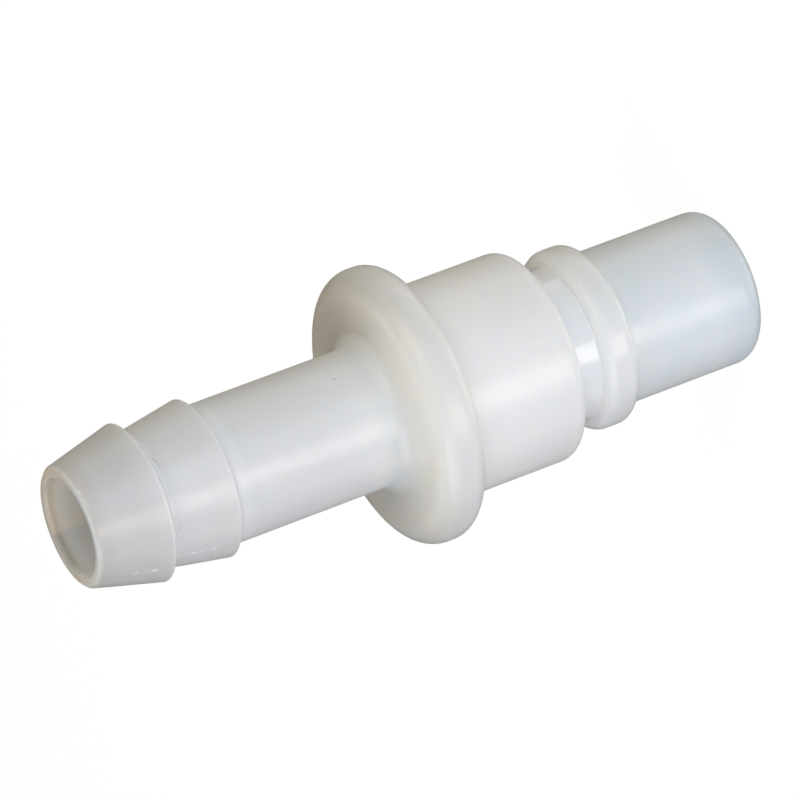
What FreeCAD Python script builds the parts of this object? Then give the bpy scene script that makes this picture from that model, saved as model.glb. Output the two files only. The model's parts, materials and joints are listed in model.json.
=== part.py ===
import FreeCAD, Part
import math
import os

# One-piece moulded plug that joins a soft hose to a quick coupling.
# Sizes are in millimetres. The plug stands on the end face of its nose at Z = 0,
# its axis is Z, and its hose end is uppermost.

# Nose that slides into the coupling socket
nose_radius = 5.17
nose_length = 10.0
nose_rim_round = 1.35

# Ring that the socket's catch takes hold of
ring_radius = 6.08
ring_width = 2.4
ring_flank_lean = 0.12
ring_edge_round = 0.74

# Groove that the catch drops into
groove_radius = 5.15
groove_width = 2.15

# Body
body_radius = 7.07
body_length = 8.5
body_rim_round = 0.85

# Flange that the hose stops against
flange_radius = 9.25
flange_thickness = 3.3
flange_nose_side_round = 1.3
flange_hose_side_round = 1.65

# Shank of the hose tail
shank_radius = 4.64
shank_length = 12.15
shank_root_round = 1.1

# Barbs of the hose tail, the last of them at the hose end
barb_count = 2
barb_radius = 5.27
barb_root_radius = 4.52
barb_length = 4.65
end_barb_length = 5.1
barb_back_lean = 0.38
hose_end_radius = 4.09
hose_end_bevel = 0.2

# Bore that runs through the whole plug
bore_radius = 3.22
bore_edge_bevel = 0.15

# Two ends of a rounded corner nearer than this need no straight piece between them
shortest_edge = 0.001


# A corner of the outline is (radius, height, rounding). Each function below gives
# the corners of one section, from the nose upwards, and the height of its top.

def nose(bottom):
    top = bottom + nose_length
    rim = (nose_radius, bottom, nose_rim_round)
    ring_foot = (nose_radius, top, 0)
    return [rim, ring_foot], top


def lock_ring(bottom):
    top = bottom + ring_width
    lower_edge = (ring_radius, bottom + ring_flank_lean, ring_edge_round)
    upper_edge = (ring_radius, top - ring_flank_lean, ring_edge_round)
    return [lower_edge, upper_edge], top


def groove(bottom):
    top = bottom + groove_width
    lower_foot = (groove_radius, bottom, 0)
    upper_foot = (groove_radius, top, 0)
    return [lower_foot, upper_foot], top


def body(bottom):
    top = bottom + body_length
    rim = (body_radius, bottom, body_rim_round)
    flange_foot = (body_radius, top, 0)
    return [rim, flange_foot], top


def flange(bottom):
    top = bottom + flange_thickness
    nose_side = (flange_radius, bottom, flange_nose_side_round)
    hose_side = (flange_radius, top, flange_hose_side_round)
    return [nose_side, hose_side], top


def shank(bottom):
    top = bottom + shank_length
    root = (shank_radius, bottom, shank_root_round)
    barb_foot = (shank_radius, top, 0)
    return [root, barb_foot], top


def barbs(bottom):
    corners = []
    foot = bottom
    for number in range(1, barb_count + 1):
        at_hose_end = number == barb_count
        tip = foot + (end_barb_length if at_hose_end else barb_length)
        corners.append((barb_radius, foot + barb_back_lean, 0))
        if at_hose_end:
            corners.append((hose_end_radius, tip - hose_end_bevel, 0))
            corners.append((hose_end_radius - hose_end_bevel, tip, 0))
        else:
            corners.append((barb_root_radius, tip, 0))
        foot = tip
    return corners, foot


def outline_corners():
    mouth_radius = bore_radius + bore_edge_bevel
    corners = [(bore_radius, bore_edge_bevel, 0), (mouth_radius, 0, 0)]
    height = 0
    for section in (nose, lock_ring, groove, body, flange, shank, barbs):
        section_corners, height = section(height)
        corners += section_corners
    corners += [(mouth_radius, height, 0), (bore_radius, height - bore_edge_bevel, 0)]
    return corners


def rounded_wire(corners):
    """Closed outline in the XZ plane, with each corner rounded by a tangent arc.

    A rounding that its two edges can't hold is made as large as they allow.
    """
    points = [FreeCAD.Vector(radius, 0, height) for radius, height, _ in corners]
    count = len(points)
    ahead = [points[(i + 1) % count] - points[i] for i in range(count)]
    lengths = [edge.Length for edge in ahead]
    directions = [FreeCAD.Vector(edge).normalize() for edge in ahead]

    half_angles = []
    setbacks = []
    for i, (_, _, rounding) in enumerate(corners):
        half_angle = (directions[i - 1] * -1).getAngle(directions[i]) / 2
        half_angles.append(half_angle)
        setbacks.append(rounding / math.tan(half_angle))

    # Share an edge that is too short between the roundings at its two ends
    shares = [1.0] * count
    for i in range(count):
        following = (i + 1) % count
        wanted = setbacks[i] + setbacks[following]
        if wanted > lengths[i]:
            share = lengths[i] / wanted
            shares[i] = min(shares[i], share)
            shares[following] = min(shares[following], share)
    setbacks = [setback * share for setback, share in zip(setbacks, shares)]

    starts = [points[i] - directions[i - 1] * setbacks[i] for i in range(count)]
    ends = [points[i] + directions[i] * setbacks[i] for i in range(count)]
    edges = []
    for i in range(count):
        if setbacks[i] > 0:
            inwards = (directions[i] - directions[i - 1]).normalize()
            rounding = setbacks[i] * math.tan(half_angles[i])
            depth = rounding / math.sin(half_angles[i]) - rounding
            edges.append(Part.Arc(starts[i], points[i] + inwards * depth, ends[i]).toShape())
        next_start = starts[(i + 1) % count]
        if ends[i].distanceToPoint(next_start) > shortest_edge:
            edges.append(Part.LineSegment(ends[i], next_start).toShape())
    return Part.Wire(edges)


def hose_tail_plug():
    section = Part.Face(rounded_wire(outline_corners()))
    return section.revolve(FreeCAD.Vector(0, 0, 0), FreeCAD.Vector(0, 0, 1), 360)


os.makedirs("parts", exist_ok=True)
hose_tail_plug().exportStep("parts/hose_tail_plug.step")
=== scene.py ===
import json
import math
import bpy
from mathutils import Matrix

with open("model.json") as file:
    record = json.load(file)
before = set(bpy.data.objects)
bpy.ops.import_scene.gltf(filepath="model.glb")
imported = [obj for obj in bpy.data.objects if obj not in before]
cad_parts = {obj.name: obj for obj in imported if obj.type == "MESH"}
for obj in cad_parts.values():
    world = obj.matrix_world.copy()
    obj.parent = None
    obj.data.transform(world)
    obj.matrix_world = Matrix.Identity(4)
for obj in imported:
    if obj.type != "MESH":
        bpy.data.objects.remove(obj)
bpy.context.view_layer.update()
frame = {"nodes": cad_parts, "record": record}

from types import SimpleNamespace

import bpy
from mathutils import Matrix, Vector

# One-piece moulded plug of undyed, milky plastic, standing on the end of its nose.
# Lengths are in metres, apart from those that a comment gives in mm, and angles in degrees.
# Z is the bore's axis, and the hose end is up.

mm = 0.001

# Sizes of the plug that the finish goes by
mounts = {mount["name"]: mount for mount in frame["record"]["mounts"]}
plug_length = mounts["hose_tail"]["pos_m"][2]
bore_radius = mounts["bore"]["dims"]["r_mm"] * mm

# View of the photograph
view_elevation = 22.4
view_roll = 110.5
view_distance = 462.8 * mm
view_centre = Vector((0.25, 0, 24.35)) * mm
view_lens = 327.3
view_sensor_width = 36

# Light of the photograph. A lamp or a card stands on a side of the plug and faces it: its
# azimuth is 0 on the camera's side and 90 at +X. A brightness of 1 is white paper's.
studio_centre = Vector((0, 0, plug_length / 2))
room_colour = (0.25, 0.25, 0.25)
panel = dict(distance=0.50, width=0.33, height=0.33)
lamps = {
    "key softbox": dict(
        azimuth=-26, elevation=-8, distance=0.35, width=0.15, height=0.32,
        brightness=3.4, colour=(1.0, 0.93, 0.92),
    ),
    "front panel": dict(panel, azimuth=15, elevation=0, brightness=1.18, colour=(0.80, 1.0, 1.25)),
    "upper right softbox": dict(panel, azimuth=45, elevation=40, brightness=1.6, colour=(1.06, 0.97, 0.77)),
    "upper left softbox": dict(panel, azimuth=-75, elevation=40, brightness=1.42, colour=(0.95, 1.0, 1.04)),
    "upper front softbox": dict(panel, azimuth=-45, elevation=40, brightness=0.6, colour=(0.97, 1.0, 1.23)),
    "overhead panel": dict(panel, azimuth=0, elevation=80, brightness=0.45, colour=(1.14, 1.0, 0.62)),
    "warm wall": dict(panel, azimuth=110, elevation=-40, brightness=0.85, colour=(1.1, 0.88, 0.6)),
    "side panel": dict(panel, azimuth=110, elevation=0, brightness=0.38, colour=(1.05, 1.0, 0.8)),
    "table glow": dict(panel, azimuth=0, elevation=-80, brightness=1.07, colour=(1.0, 1.04, 0.9)),
}
tall_card = dict(elevation=-10, height=0.90)
cards = {
    "warm card": dict(tall_card, azimuth=132, distance=0.30, width=0.35, colour=(0.38, 0.33, 0.26)),
    "grey card": dict(tall_card, azimuth=-130, distance=0.30, width=0.36, colour=(0.36, 0.36, 0.37)),
    "back card": dict(tall_card, azimuth=180, distance=0.26, width=0.28, colour=(0.13, 0.12, 0.10)),
}
floor_width = 6.0
floor_glow = 0.9
floor_colour = (0.2, 0.2, 0.2)

# Settings of the plastic that are the same all over
plastic_settings = {
    "Specular IOR Level": 0.7,
    "Subsurface Weight": 1.0,
    "Subsurface Scale": 3.0 * mm,
    "Subsurface Radius": (1.2, 1.0, 0.8),
    "Coat Roughness": 0.05,
}
softened_edge = 0.3 * mm

# Tone of the plastic along the plug, as height in mm and colour. The thin nose is bluish, the thick body and
# flange are creamy, and the hose tail is greyer. The stops also paint light and shade: the light bands by the
# ring's foot, at both ends of the groove and by the barb crests are painted light over the shade in those
# corners, and the darker ring edge, flange rim and barb cones are painted shade.
tones_and_painted_light = (
    (0.0, (0.61, 0.68, 0.76)),
    (1.4, (0.63, 0.70, 0.75)),
    (3.6, (0.73, 0.78, 0.82)),
    (9.0, (0.73, 0.78, 0.81)),
    (9.8, (0.79, 0.83, 0.85)),
    (10.1, (0.92, 0.93, 0.94)),
    (10.5, (0.76, 0.78, 0.80)),
    (11.9, (0.72, 0.74, 0.75)),
    (12.2, (0.77, 0.79, 0.79)),
    (12.4, (0.98, 0.98, 0.97)),
    (12.65, (0.86, 0.87, 0.87)),
    (14.75, (0.94, 0.94, 0.95)),
    (15.2, (0.80, 0.81, 0.82)),
    (21.8, (0.87, 0.87, 0.87)),
    (22.8, (0.85, 0.85, 0.84)),
    (23.8, (0.75, 0.76, 0.76)),
    (25.2, (0.67, 0.68, 0.68)),
    (26.0, (0.70, 0.71, 0.71)),
    (26.35, (0.83, 0.83, 0.82)),
    (28.2, (0.81, 0.80, 0.78)),
    (29.6, (0.77, 0.77, 0.77)),
    (37.4, (0.75, 0.755, 0.76)),
    (38.4, (0.87, 0.87, 0.87)),
    (38.87, (0.87, 0.87, 0.87)),
    (39.0, (0.67, 0.675, 0.685)),
    (42.8, (0.70, 0.70, 0.71)),
    (43.15, (0.84, 0.84, 0.84)),
    (43.5, (0.80, 0.80, 0.80)),
    (43.62, (0.61, 0.615, 0.625)),
    (47.0, (0.57, 0.575, 0.585)),
    (48.2, (0.50, 0.49, 0.485)),
    (48.25, (0.70, 0.69, 0.68)),
)

# Below, a pair of numbers is a band: where a mask starts, and where it is whole. A turn is a
# band in how far a surface faces the far side, from -1 to 1.
far_side = (0.4, 0.9, 0)

# Broad clouds in the plastic, patches of its skin, fine grain of the mould, and lines drawn
# along the axis, by the size of their features
cloud_size = 5 * mm
cloud_band = (0.35, 0.65)
cool_cloud_tint = (0.98, 0.99, 1.0)
warm_cloud_tint = (1.0, 0.997, 0.99)
patch_size = 1.6 * mm
patch_band = (0.42, 0.62)
grain_size = 0.30 * mm
draw_line_width = 0.16 * mm
draw_line_stretch = 18

# Lip of the hose end, and what lies inside it, with painted light and shade
lip_heights = (48.18 * mm, 48.24 * mm)
lip_turn = (-0.9, 0.0)
# Painted light on the lip's near side and painted shade on its far side
painted_lit_lip_colour = (1.0, 1.0, 1.0)
painted_shaded_lip_colour = (0.72, 0.62, 0.53)
outside_radii = (bore_radius + 0.02 * mm, bore_radius + 0.15 * mm)
# Reach of the bore's painted light and shade over the lip's edge on the far side
far_mouth_turn = (-0.6, 0.4)
far_mouth_reach = 0.14 * mm
lit_side_places = (-0.35 * mm, 0.25 * mm)
# Lit and shaded copies of the bore's colour, split across X: painted light and shade
lit_inside_colour = (0.83, 0.79, 0.74)
shaded_inside_colour = (0.66, 0.69, 0.71)
# Painted shade on the mouth's inner edge on the far side, in a lit and a shaded copy
mouth_heights = (47.5 * mm, 48.1 * mm)
mouth_radii = (3.44 * mm, 3.34 * mm)
mouth_turn = (-0.1, 0.5)
lit_mouth_painted_shade = (0.77, 0.74, 0.70)
shaded_mouth_painted_shade = (0.58, 0.57, 0.55)

# Painted light on the sides of the groove's floor, over the shade of the ring and the body there, with the
# groove's middle as a height in mm
groove_middle = 13.5
groove_reaches = (1.3 * mm, 0.9 * mm)
groove_floor_radii = (5.45 * mm, 5.2 * mm)
groove_side_shares = (0.55, 0.95)
groove_side_painted_light = (1.0, 1.0, 1.0)

# Painted shade, warmer and deeper, on the far side of the flange's and the mouth's faces towards the hose
# end, with a little painted light on their near side, and the share of it along the plug, as height in mm and
# share
tint_turn = (-0.9, 0.5)
near_painted_light = (1.05, 1.05, 1.04)
far_painted_shade = (0.84, 0.80, 0.75)
painted_shade_shares = ((24.8, 0), (25.8, 1), (26.4, 1), (26.7, 0), (47.3, 0), (47.9, 1))
tinted_mouth_radii = (3.42 * mm, 3.32 * mm)
tinted_flange_radii = (5.0 * mm, 5.6 * mm)

# Share of a smooth skin over the satin one along the plug, as height in mm and share
polished = (
    (9.0, 0.10),
    (9.6, 0.50),
    (10.6, 0.50),
    (11.4, 0.12),
    (12.3, 0.20),
    (12.5, 1.0),
    (14.4, 1.0),
    (14.7, 0.10),
    (23.2, 0.10),
    (24.0, 0.45),
    (24.8, 0.10),
)

# Line where the mould's halves met. It is fainter on the side of the nose.
parting_angle = 62
parting_half_widths = (0.12 * mm, 0.03 * mm)
parting_gap_size = 1.2 * mm
parting_gap_band = (0.48, 0.58)
parting_heights = (30 * mm, 38 * mm)
parting_share_at_nose = 0.15

# Small marks, with places and sizes in mm
rubbed_edges = (10.0, 12.4, 15.4)
rubbed_reaches = (0.22 * mm, 0.04 * mm)
mould_gap_size = 0.35 * mm
hair_strokes = (
    dict(Start=(2.35, -4.02, 43.2), End=(2.2, -3.99, 42.95), Width=0.10),
    dict(Start=(2.2, -3.99, 42.95), End=(1.89, -4.16, 42.85), Width=0.10),
    dict(Start=(1.89, -4.16, 42.85), End=(1.47, -4.33, 42.85), Width=0.07),
)
mould_strokes = (
    dict(Start=(-4.08, -2.17, 46.0), End=(-4.38, -2.33, 44.7), Width=0.42),
    dict(Start=(-4.17, -2.22, 42.0), End=(-4.43, -2.36, 40.3), Width=0.46),
    dict(Start=(-4.10, -2.18, 38.1), End=(-4.10, -2.18, 37.3), Width=0.36),
)
dark_specks = (
    dict(Centre=(2.95, -3.58, 29.51), Radius=0.12),
    dict(Centre=(-3.9, 3.4, 18.2), Radius=0.12),
)
faint_specks = (
    dict(Centre=(1.85, -3.56, 48.13), Radius=0.13),
    dict(Centre=(-0.14, -5.26, 38.93), Radius=0.16),
    dict(Centre=(3.1, 6.3, 19.4), Radius=0.2),
)
light_specks = (
    dict(Centre=(-2.79, -3.63, 42.8), Radius=0.12),
    dict(Centre=(5.1, 3.9, 21.0), Radius=0.12),
)
rubbed_colour = (0.93, 0.93, 0.92)
parting_colour = (0.95, 0.95, 0.95)
pale_mark_colour = (0.97, 0.97, 0.97)
hair_colour = (0.30, 0.40, 0.40)
dark_speck_colour = (0.25, 0.28, 0.26)


def feed(tree, socket, value):
    """Link a socket to another one, or set it to a value."""
    if isinstance(value, bpy.types.NodeSocket):
        tree.links.new(value, socket)
    else:
        socket.default_value = value


def add_node(tree, kind, inputs=None, **settings):
    """Node with its settings, and with its inputs fed by sockets or set to values."""
    node = tree.nodes.new(kind)
    for name, value in settings.items():
        setattr(node, name, value)
    for name, value in (inputs or {}).items():
        feed(tree, node.inputs[name], value)
    return node


def calculate(tree, operation, *values):
    return add_node(tree, "ShaderNodeMath", dict(enumerate(values)), operation=operation).outputs["Value"]


def combine(tree, operation, values):
    """One value from several, by an operation that takes two at a time."""
    result, *others = values
    for other in others:
        result = calculate(tree, operation, result, other)
    return result


def multiply(tree, *values):
    return combine(tree, "MULTIPLY", values)


def vector_math(tree, operation, *vectors):
    return add_node(tree, "ShaderNodeVectorMath", dict(enumerate(vectors)), operation=operation).outputs


def fade(tree, value, start, end, low=0.0, high=1.0, shape="SMOOTHSTEP"):
    """Value that goes from low at start to high at end, and stays there."""
    inputs = {"Value": value, "From Min": start, "From Max": end, "To Min": low, "To Max": high}
    return add_node(tree, "ShaderNodeMapRange", inputs, interpolation_type=shape).outputs["Result"]


def blend_colours(tree, share, first, second, way="MIX"):
    """Colour that goes from the first to the second by a share, or by their product."""
    mix = add_node(tree, "ShaderNodeMix", data_type="RGBA", blend_type=way)
    feed(tree, mix.inputs[0], share)
    # The node's sockets for colours are its inputs 6 and 7 and its output 2
    for number, colour in ((6, first), (7, second)):
        feed(tree, mix.inputs[number], (*colour, 1) if isinstance(colour, tuple) else colour)
    return mix.outputs[2]


def noise(tree, point, size, detail, stretch=(1, 1, 1)):
    """Noise whose features have a size in metres, and can be stretched along an axis."""
    scale = [1 / (size * share) for share in stretch]
    mapping = add_node(tree, "ShaderNodeMapping", {"Vector": point, "Scale": scale})
    inputs = {"Vector": mapping.outputs["Vector"], "Scale": 1.0, "Detail": detail}
    return add_node(tree, "ShaderNodeTexNoise", inputs).outputs["Fac"]


def along_plug(tree, height, stops):
    """Colour or share that goes from stop to stop up the plug."""
    ramp = add_node(tree, "ShaderNodeValToRGB", {"Fac": fade(tree, height, 0, plug_length, shape="LINEAR")})
    elements = ramp.color_ramp.elements
    while len(elements) < len(stops):
        elements.new(0.5)
    for element, (level, value) in zip(elements, stops):
        colour = value if isinstance(value, tuple) else (value, value, value)
        element.position = level * mm / plug_length
        element.color = (*colour, 1)
    return ramp.outputs["Color"]


def new_group(name, inputs, output):
    """Empty shader group with a vector or float socket for each named input."""
    group = bpy.data.node_groups.new(name, "ShaderNodeTree")
    for socket_name, kind in inputs:
        group.interface.new_socket(socket_name, in_out="INPUT", socket_type=kind)
    group.interface.new_socket(output, in_out="OUTPUT", socket_type="NodeSocketFloat")
    return group, group.nodes.new("NodeGroupInput").outputs, group.nodes.new("NodeGroupOutput").inputs


def make_spot_group():
    """Round spot of a radius round a centre, with a soft edge."""
    inputs = (("Place", "NodeSocketVector"), ("Centre", "NodeSocketVector"), ("Radius", "NodeSocketFloat"))
    group, given, result = new_group("spot", inputs, "Mask")
    away = vector_math(group, "DISTANCE", given["Place"], given["Centre"])["Value"]
    feed(group, result["Mask"], fade(group, calculate(group, "DIVIDE", away, given["Radius"]), 1.0, 0.4))
    return group


def make_stroke_group():
    """Straight stroke of a width from one point to another, with soft edges."""
    inputs = (
        ("Place", "NodeSocketVector"),
        ("Start", "NodeSocketVector"),
        ("End", "NodeSocketVector"),
        ("Width", "NodeSocketFloat"),
    )
    group, given, result = new_group("stroke", inputs, "Mask")
    reach = vector_math(group, "SUBTRACT", given["Place"], given["Start"])["Vector"]
    run = vector_math(group, "SUBTRACT", given["End"], given["Start"])["Vector"]
    shadow = vector_math(group, "DOT_PRODUCT", reach, run)["Value"]
    whole = vector_math(group, "DOT_PRODUCT", run, run)["Value"]
    share = fade(group, calculate(group, "DIVIDE", shadow, whole), 0, 1, shape="LINEAR")
    foot = add_node(group, "ShaderNodeVectorMath", {0: run, "Scale": share}, operation="SCALE")
    away = vector_math(group, "DISTANCE", reach, foot.outputs["Vector"])["Value"]
    feed(group, result["Mask"], fade(group, calculate(group, "DIVIDE", away, given["Width"]), 0.6, 0.2))
    return group


def add_marks(tree, point, group, marks):
    """Mask of several spots or strokes."""
    masks = []
    for mark in marks:
        node = add_node(tree, "ShaderNodeGroup", {"Place": point}, node_tree=group)
        for name, value in mark.items():
            feed(tree, node.inputs[name], [v * mm for v in value] if isinstance(value, tuple) else value * mm)
        masks.append(node.outputs["Mask"])
    return combine(tree, "MAXIMUM", masks)


def from_side(azimuth, elevation):
    """Direction from the plug towards a side."""
    around = math.radians(azimuth)
    above = math.radians(elevation)
    flat = math.cos(above)
    return Vector((math.sin(around) * flat, -math.cos(around) * flat, math.sin(above)))


def make_camera():
    backwards = from_side(0, view_elevation)
    level_right = Vector((1, 0, 0))
    level_up = backwards.cross(level_right)
    roll = math.radians(view_roll)
    right = level_right * math.cos(roll) - level_up * math.sin(roll)
    up = level_right * math.sin(roll) + level_up * math.cos(roll)
    turn = Matrix((right, up, backwards)).transposed().to_4x4()
    camera = bpy.data.objects.new("camera", bpy.data.cameras.new("camera"))
    camera.data.lens = view_lens
    camera.data.sensor_width = view_sensor_width
    camera.matrix_world = Matrix.Translation(view_centre + backwards * view_distance) @ turn
    bpy.context.scene.collection.objects.link(camera)
    bpy.context.scene.camera = camera


def face_plug(name, data, azimuth, elevation, distance):
    """Object that stands on a side of the plug, faces it, and stays out of the camera's sight."""
    side = from_side(azimuth, elevation)
    holder = bpy.data.objects.new(name, data)
    holder.location = studio_centre + side * distance
    holder.rotation_mode = "QUATERNION"
    holder.rotation_quaternion = side.to_track_quat("Z", "Y")
    holder.visible_camera = False
    bpy.context.scene.collection.objects.link(holder)
    return holder


def sheet(name, width, height):
    """Flat, level rectangle."""
    x, y = width / 2, height / 2
    mesh = bpy.data.meshes.new(name)
    mesh.from_pydata([(-x, -y, 0), (x, -y, 0), (x, y, 0), (-x, y, 0)], [], [(0, 1, 2, 3)])
    return mesh


def bare_material(name):
    """Material without a shader, its node tree, and the socket that takes a shader."""
    material = bpy.data.materials.new(name)
    material.use_nodes = True
    tree = material.node_tree
    tree.nodes.clear()
    return material, tree, tree.nodes.new("ShaderNodeOutputMaterial").inputs["Surface"]


def make_lamp(name, azimuth, elevation, distance, width, height, brightness, colour):
    lamp = bpy.data.lights.new(name, "AREA")
    lamp.shape = "RECTANGLE"
    lamp.size = width
    lamp.size_y = height
    lamp.energy = brightness * math.pi * width * height
    lamp.color = colour
    face_plug(name, lamp, azimuth, elevation, distance)


def make_card(name, azimuth, elevation, distance, width, height, colour):
    """Card behind the plug that its satin sides show."""
    surface, tree, shown = bare_material(name)
    glow = add_node(tree, "ShaderNodeEmission", {"Color": (*colour, 1), "Strength": 1.0})
    feed(tree, shown, glow.outputs["Emission"])
    holder = face_plug(name, sheet(name, width, height), azimuth, elevation, distance)
    holder.data.materials.append(surface)
    holder.visible_shadow = False


def light_studio():
    for name, settings in lamps.items():
        make_lamp(name, **settings)
    for name, settings in cards.items():
        make_card(name, **settings)


def make_world():
    """Grey room, with a white backdrop for what the camera, metal and glass see."""
    world = bpy.data.worlds.new("studio")
    world.use_nodes = True
    tree = world.node_tree
    tree.nodes.clear()
    rays = tree.nodes.new("ShaderNodeLightPath").outputs
    seen_by = [rays[name] for name in ("Is Camera Ray", "Is Glossy Ray", "Is Transmission Ray")]
    seen = combine(tree, "MAXIMUM", seen_by)
    room = add_node(tree, "ShaderNodeBackground", {"Color": (*room_colour, 1), "Strength": 1.0})
    white = add_node(tree, "ShaderNodeBackground", {"Color": (1, 1, 1, 1), "Strength": 1.0})
    inputs = {0: seen, 1: room.outputs["Background"], 2: white.outputs["Background"]}
    both = add_node(tree, "ShaderNodeMixShader", inputs)
    add_node(tree, "ShaderNodeOutputWorld", {"Surface": both.outputs["Shader"]})
    bpy.context.scene.world = world


def make_floor():
    """White floor that the camera sees, with the plug's shadow on it."""
    paper, tree, shown = bare_material("white floor")
    glow = add_node(tree, "ShaderNodeEmission", {"Strength": floor_glow})
    surface = add_node(tree, "ShaderNodeBsdfDiffuse", {"Color": (*floor_colour, 1)})
    both = add_node(tree, "ShaderNodeAddShader", {0: glow.outputs["Emission"], 1: surface.outputs["BSDF"]})
    feed(tree, shown, both.outputs["Shader"])
    floor = bpy.data.objects.new("floor", sheet("floor", floor_width, floor_width))
    floor.data.materials.append(paper)
    floor.visible_diffuse = False
    floor.visible_glossy = False
    floor.visible_transmission = False
    floor.visible_shadow = False
    bpy.context.scene.collection.objects.link(floor)


def find_places(tree):
    """Sockets that say where on the plug a point lies, and how far it faces the far side."""
    point = add_node(tree, "ShaderNodeTexCoord").outputs["Object"]
    axes = add_node(tree, "ShaderNodeSeparateXYZ", {"Vector": point}).outputs
    flat = add_node(tree, "ShaderNodeCombineXYZ", {"X": axes["X"], "Y": axes["Y"]}).outputs["Vector"]
    outwards = vector_math(tree, "NORMALIZE", flat)["Vector"]
    return SimpleNamespace(
        point=point,
        x=axes["X"],
        height=axes["Z"],
        flat=flat,
        radius=vector_math(tree, "LENGTH", flat)["Value"],
        away=vector_math(tree, "DOT_PRODUCT", outwards, far_side)["Value"],
    )


def outside_only(tree, radius):
    """Mask of everything but the bore and its mouths."""
    return fade(tree, radius, *outside_radii)


def distance_from(tree, height, level):
    """Distance of a height from a level in mm."""
    return calculate(tree, "ABSOLUTE", calculate(tree, "SUBTRACT", height, level * mm))


def parting_line(tree, where):
    """Broken line where the mould's halves met."""
    turn = math.radians(parting_angle)
    across = (math.cos(turn), -math.sin(turn), 0)
    beside = calculate(tree, "ABSOLUTE", vector_math(tree, "DOT_PRODUCT", where.flat, across)["Value"])
    line = fade(tree, beside, *parting_half_widths)
    gaps = fade(tree, noise(tree, where.point, parting_gap_size, 1, (1, 1, 2)), *parting_gap_band)
    strength = fade(tree, where.height, *parting_heights, parting_share_at_nose, 1.0)
    return multiply(tree, line, gaps, outside_only(tree, where.radius), strength)


def rubbed_mask(tree, where, patches):
    """Patches of the sharp edges that are rubbed."""
    distances = [distance_from(tree, where.height, level) for level in rubbed_edges]
    near = [fade(tree, distance, *rubbed_reaches) for distance in distances]
    return multiply(tree, combine(tree, "MAXIMUM", near), fade(tree, patches, *patch_band))


def paint_mouth_light_and_shade(tree, where, colour):
    """Painted light and shade on the lip and inside it: both are painted darker on the far side, and the bore
    has lit and shaded copies of its colour.
    """
    lip_side = fade(tree, where.away, *lip_turn, shape="LINEAR")
    lip_light_and_shade = blend_colours(tree, lip_side, painted_lit_lip_colour, painted_shaded_lip_colour)
    colour = blend_colours(tree, fade(tree, where.height, *lip_heights), colour, lip_light_and_shade)

    # The bore's painted light and shade reach a little over its edge on the far side
    reach = fade(tree, where.away, *far_mouth_turn, 0.0, far_mouth_reach)
    past_mouth = outside_only(tree, calculate(tree, "SUBTRACT", where.radius, reach))
    lit_side = fade(tree, where.x, *lit_side_places)
    inside_light_and_shade = blend_colours(tree, lit_side, shaded_inside_colour, lit_inside_colour)
    colour = blend_colours(tree, calculate(tree, "SUBTRACT", 1.0, past_mouth), colour, inside_light_and_shade)

    mouth_shade = multiply(
        tree,
        fade(tree, where.height, *mouth_heights),
        fade(tree, where.away, *mouth_turn, shape="LINEAR"),
        fade(tree, where.radius, *mouth_radii),
    )
    light_and_shade_tint = blend_colours(tree, lit_side, shaded_mouth_painted_shade, lit_mouth_painted_shade)
    return blend_colours(tree, mouth_shade, colour, light_and_shade_tint, "MULTIPLY")


def paint_groove_light(tree, where, colour):
    """Painted light on the groove's floor where it turns away from the front, over the shade of the ring and
    the body.
    """
    side_share = calculate(tree, "DIVIDE", calculate(tree, "ABSOLUTE", where.x), where.radius)
    painted_groove_light = multiply(
        tree,
        fade(tree, side_share, *groove_side_shares),
        fade(tree, distance_from(tree, where.height, groove_middle), *groove_reaches),
        fade(tree, where.radius, *groove_floor_radii),
        outside_only(tree, where.radius),
    )
    return blend_colours(tree, painted_groove_light, colour, groove_side_painted_light)


def paint_far_side_shade(tree, where, colour):
    """Painted shade, warmer and deeper, on the far side of the flange's and the mouth's faces towards the
    hose end, and a little painted light on their near side.
    """
    light_and_shade_tint = blend_colours(tree, fade(tree, where.away, *tint_turn, shape="LINEAR"), near_painted_light, far_painted_shade)
    on_mouth = fade(tree, where.radius, *tinted_mouth_radii)
    on_flange = fade(tree, where.radius, *tinted_flange_radii)
    on_either = calculate(tree, "MAXIMUM", on_mouth, on_flange)
    share = multiply(tree, along_plug(tree, where.height, painted_shade_shares), on_either)
    return blend_colours(tree, share, colour, light_and_shade_tint, "MULTIPLY")


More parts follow.
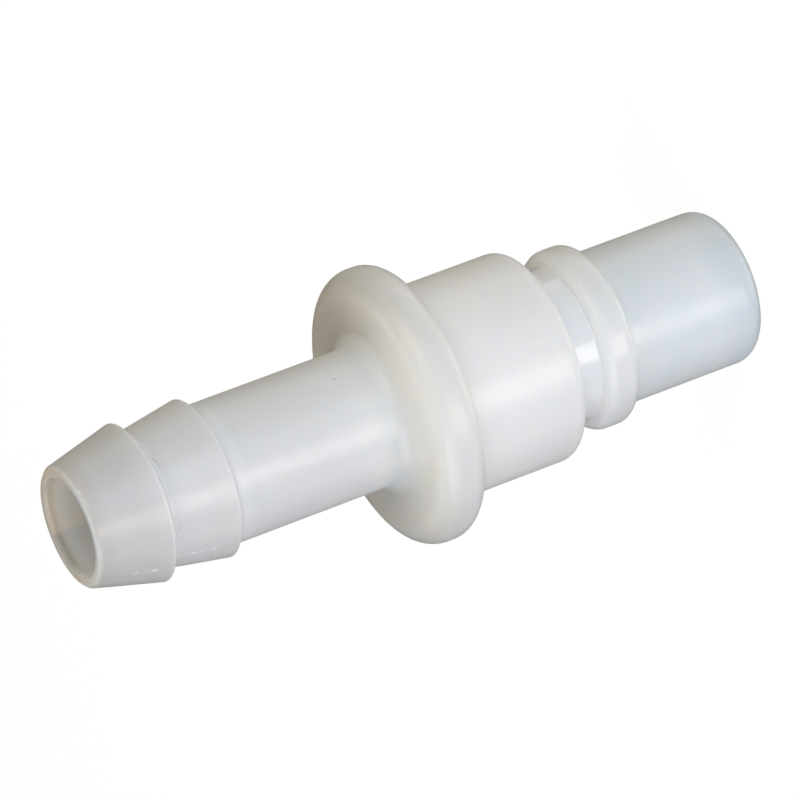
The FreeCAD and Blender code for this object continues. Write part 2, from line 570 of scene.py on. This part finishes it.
def natural_plastic():
    material = bpy.data.materials.new("natural plastic")
    material.use_nodes = True
    tree = material.node_tree
    shader = tree.nodes["Principled BSDF"]
    for socket, value in plastic_settings.items():
        shader.inputs[socket].default_value = value
    where = find_places(tree)

    clouds = noise(tree, where.point, cloud_size, 3)
    patches = noise(tree, where.point, patch_size, 3)
    grain = noise(tree, where.point, grain_size, 2)
    draw_lines = noise(tree, where.point, draw_line_width, 1, (1, 1, draw_line_stretch))

    # Marks
    parting = parting_line(tree, where)
    rub = rubbed_mask(tree, where, patches)
    spots = make_spot_group()
    strokes = make_stroke_group()
    hair = add_marks(tree, where.point, strokes, hair_strokes)
    mould_gaps = fade(tree, noise(tree, where.point, mould_gap_size, 3), *patch_band)
    mould_line = multiply(tree, add_marks(tree, where.point, strokes, mould_strokes), mould_gaps)
    dark_spots = add_marks(tree, where.point, spots, dark_specks)
    faint_spots = add_marks(tree, where.point, spots, faint_specks)
    light_spots = add_marks(tree, where.point, spots, light_specks)

    # Colour, with the painted light and shade of the tones along the plug, and with each mark's strength
    cloud_tint = blend_colours(tree, fade(tree, clouds, *cloud_band), cool_cloud_tint, warm_cloud_tint)
    colour = blend_colours(tree, 1.0, along_plug(tree, where.height, tones_and_painted_light), cloud_tint, "MULTIPLY")
    for mask, strength, mark_colour in (
        (rub, 0.25, rubbed_colour),
        (mould_line, 0.55, pale_mark_colour),
        (parting, 0.3, parting_colour),
        (hair, 0.55, hair_colour),
        (dark_spots, 0.4, dark_speck_colour),
        (faint_spots, 0.35, pale_mark_colour),
        (light_spots, 1.0, pale_mark_colour),
    ):
        colour = blend_colours(tree, multiply(tree, mask, strength), colour, mark_colour)
    # Painted light and shade on the mouth, the groove's floor and the faces towards the hose end
    for colour_part in (paint_mouth_light_and_shade, paint_groove_light, paint_far_side_shade):
        colour = colour_part(tree, where, colour)
    feed(tree, shader.inputs["Base Color"], colour)

    # Satin skin, with a smooth skin where the mould was polished
    roughness = (
        fade(tree, patches, 0.3, 0.7, 0.31, 0.37),
        fade(tree, draw_lines, 0.4, 0.7, 0.0, 0.04),
        multiply(tree, rub, 0.1),
    )
    feed(tree, shader.inputs["Roughness"], combine(tree, "ADD", roughness))
    polish = multiply(tree, along_plug(tree, where.height, polished), fade(tree, clouds, 0.3, 0.6, 0.85, 1.0))
    feed(tree, shader.inputs["Coat Weight"], polish)

    # Relief, with each part's height in mm, over edges that look softly rounded
    relief = [
        multiply(tree, mask, rise)
        for mask, rise in ((grain, 0.0016), (draw_lines, 0.0010), (parting, 0.012), (dark_spots, -0.02))
    ]
    soft = add_node(tree, "ShaderNodeBevel", {"Radius": softened_edge}, samples=6).outputs["Normal"]
    inputs = {"Height": combine(tree, "ADD", relief), "Distance": mm, "Strength": 1.0, "Normal": soft}
    feed(tree, shader.inputs["Normal"], add_node(tree, "ShaderNodeBump", inputs).outputs["Normal"])
    return material


def finish_plug():
    plug = frame["nodes"]["hose_tail_plug"]
    material = natural_plastic()
    for slot in plug.material_slots:
        slot.material = material


finish_plug()
make_floor()
make_world()
light_studio()
make_camera()

scene = bpy.context.scene
scene.view_settings.view_transform = "Standard"
